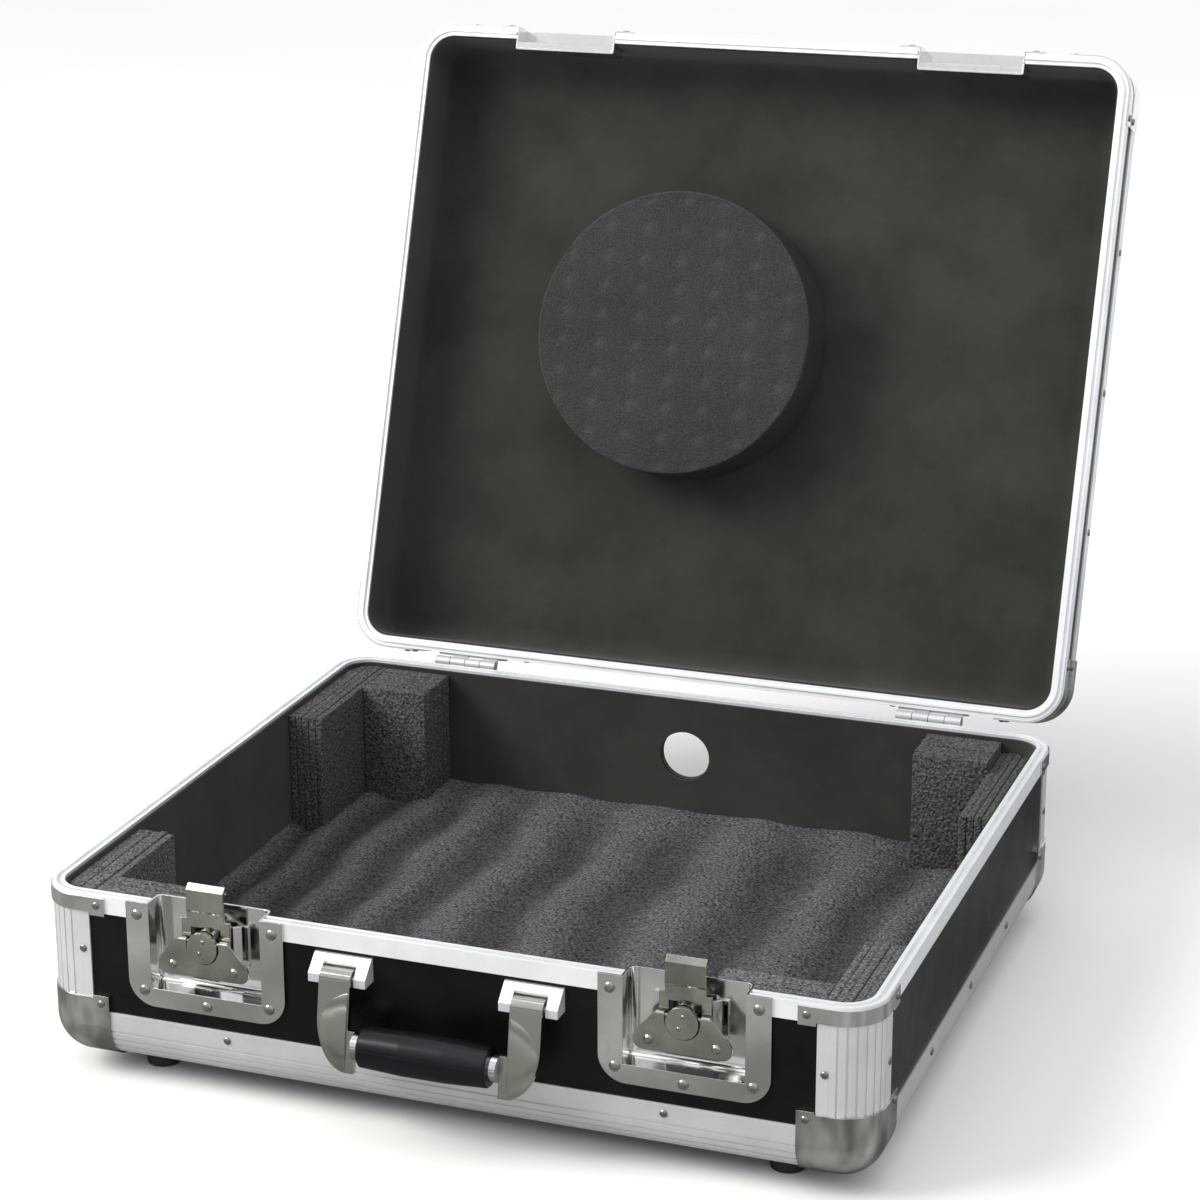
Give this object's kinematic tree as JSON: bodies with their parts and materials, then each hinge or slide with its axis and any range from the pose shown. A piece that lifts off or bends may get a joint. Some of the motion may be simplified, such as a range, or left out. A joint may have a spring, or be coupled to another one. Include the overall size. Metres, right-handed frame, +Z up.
{
  "type": "turntable case",
  "caption": "Open flight case for a record player: ribbed metal edges, ball corners, recessed butterfly latches, hinged lid with a foam pad, foam corner blocks and a drop handle",
  "frame": {"origin": "bottom centre of the whole open case, on the plane that the feet stand on", "axes": "+X to the right seen from the latches, +Y towards the hinges and the open lid, +Z up"},
  "size_m": [0.5224, 0.6974, 0.5569],
  "materials": {
    "aluminium": "satin ribbed extrusion",
    "chrome": "polished plate",
    "foam": "laminated foam",
    "grip": "glossy",
    "laminate": "black laminate on plywood",
    "lining": "thin foam cloth",
    "rubber": "matt",
    "steel": "plain"
  },
  "bodies": {
    "base": {"base_back_edge": "aluminium", "base_back_panel": "laminate", "base_ball_corners": "chrome", "base_bottom_panel": "laminate", "base_corner_posts": "aluminium", "base_front_edge": "aluminium", "base_front_panel": "laminate", "base_left_edge": "aluminium", "base_left_panel": "laminate", "base_lining": "lining", "base_right_edge": "aluminium", "base_right_panel": "laminate", "base_rim_braces": "chrome", "base_rim_corners": "aluminium", "base_rim_lengths": "aluminium", "feet": "rubber", "floor_foam": "foam", "foam_corner_back_left": "foam", "foam_corner_back_right": "foam", "foam_corner_front_left": "foam", "foam_corner_front_right": "foam", "foot_screws": "steel", "handle_brackets": "chrome", "handle_pins": "steel", "hinge_base_leaves": "chrome", "hinge_pins": "steel", "latch_bridge_left": "chrome", "latch_bridge_right": "chrome", "latch_dish_left": "chrome", "latch_dish_right": "chrome"},
    "lid": {"hinge_lid_leaves": "chrome", "keeper_left": "chrome", "keeper_right": "chrome", "lid_back_panel": "laminate", "lid_ball_corners": "chrome", "lid_corner_posts": "aluminium", "lid_edges": "aluminium", "lid_foam_pad": "foam", "lid_front_panel": "laminate", "lid_left_panel": "laminate", "lid_lining": "lining", "lid_right_panel": "laminate", "lid_rim_braces": "chrome", "lid_rim_corners": "aluminium", "lid_rim_lengths": "aluminium", "lid_top_panel": "laminate"},
    "handle": {"handle_arms": "chrome", "handle_grip": "grip", "handle_ferrules": "chrome", "handle_core": "steel"},
    "spindle_left": {"latch_spindle_left": "chrome"},
    "wing_left": {"latch_wing_left": "chrome"},
    "hook_left": {"latch_hook_left": "chrome"},
    "spindle_right": {"latch_spindle_right": "chrome"},
    "wing_right": {"latch_wing_right": "chrome"},
    "hook_right": {"latch_hook_right": "chrome"}
  },
  "joints": [
    {"name": "lid_hinge", "type": "hinge", "parent": "base", "child": "lid", "pos_m": [0, 0.14384, 0.1222], "axis": [1, 0, 0], "range_deg": [0, 109.5]},
    {"name": "handle_swing", "type": "hinge", "parent": "base", "child": "handle", "pos_m": [0, -0.32416, 0.097], "axis": [-1, 0, 0], "range_deg": [-10, 80]},
    {"name": "latch_turn_left", "type": "hinge", "parent": "base", "child": "spindle_left", "pos_m": [-0.14898, -0.31616, 0.1], "axis": [0, 1, 0], "range_deg": [0, 180]},
    {"name": "latch_fold_left", "type": "hinge", "parent": "spindle_left", "child": "wing_left", "pos_m": [-0.14898, -0.31786, 0.1026], "axis": [-1, 0, 0], "range_deg": [0, 90]},
    {"name": "latch_draw_left", "type": "slide", "parent": "base", "child": "hook_left", "axis": [0, 0.5812, -0.8137], "range_m": [0, 0.0086]},
    {"name": "latch_turn_right", "type": "hinge", "parent": "base", "child": "spindle_right", "pos_m": [0.14898, -0.31616, 0.1], "axis": [0, 1, 0], "range_deg": [0, 180]},
    {"name": "latch_fold_right", "type": "hinge", "parent": "spindle_right", "child": "wing_right", "pos_m": [0.14898, -0.31786, 0.1026], "axis": [-1, 0, 0], "range_deg": [0, 90]},
    {"name": "latch_draw_right", "type": "slide", "parent": "base", "child": "hook_right", "axis": [0, 0.5812, -0.8137], "range_m": [0, 0.0086]}
  ],
  "couplings": [
    {"joint": "latch_draw_left", "follows": "latch_turn_left", "m_per_rad": 0.0027382},
    {"joint": "latch_draw_right", "follows": "latch_turn_right", "m_per_rad": 0.0027382}
  ]
}
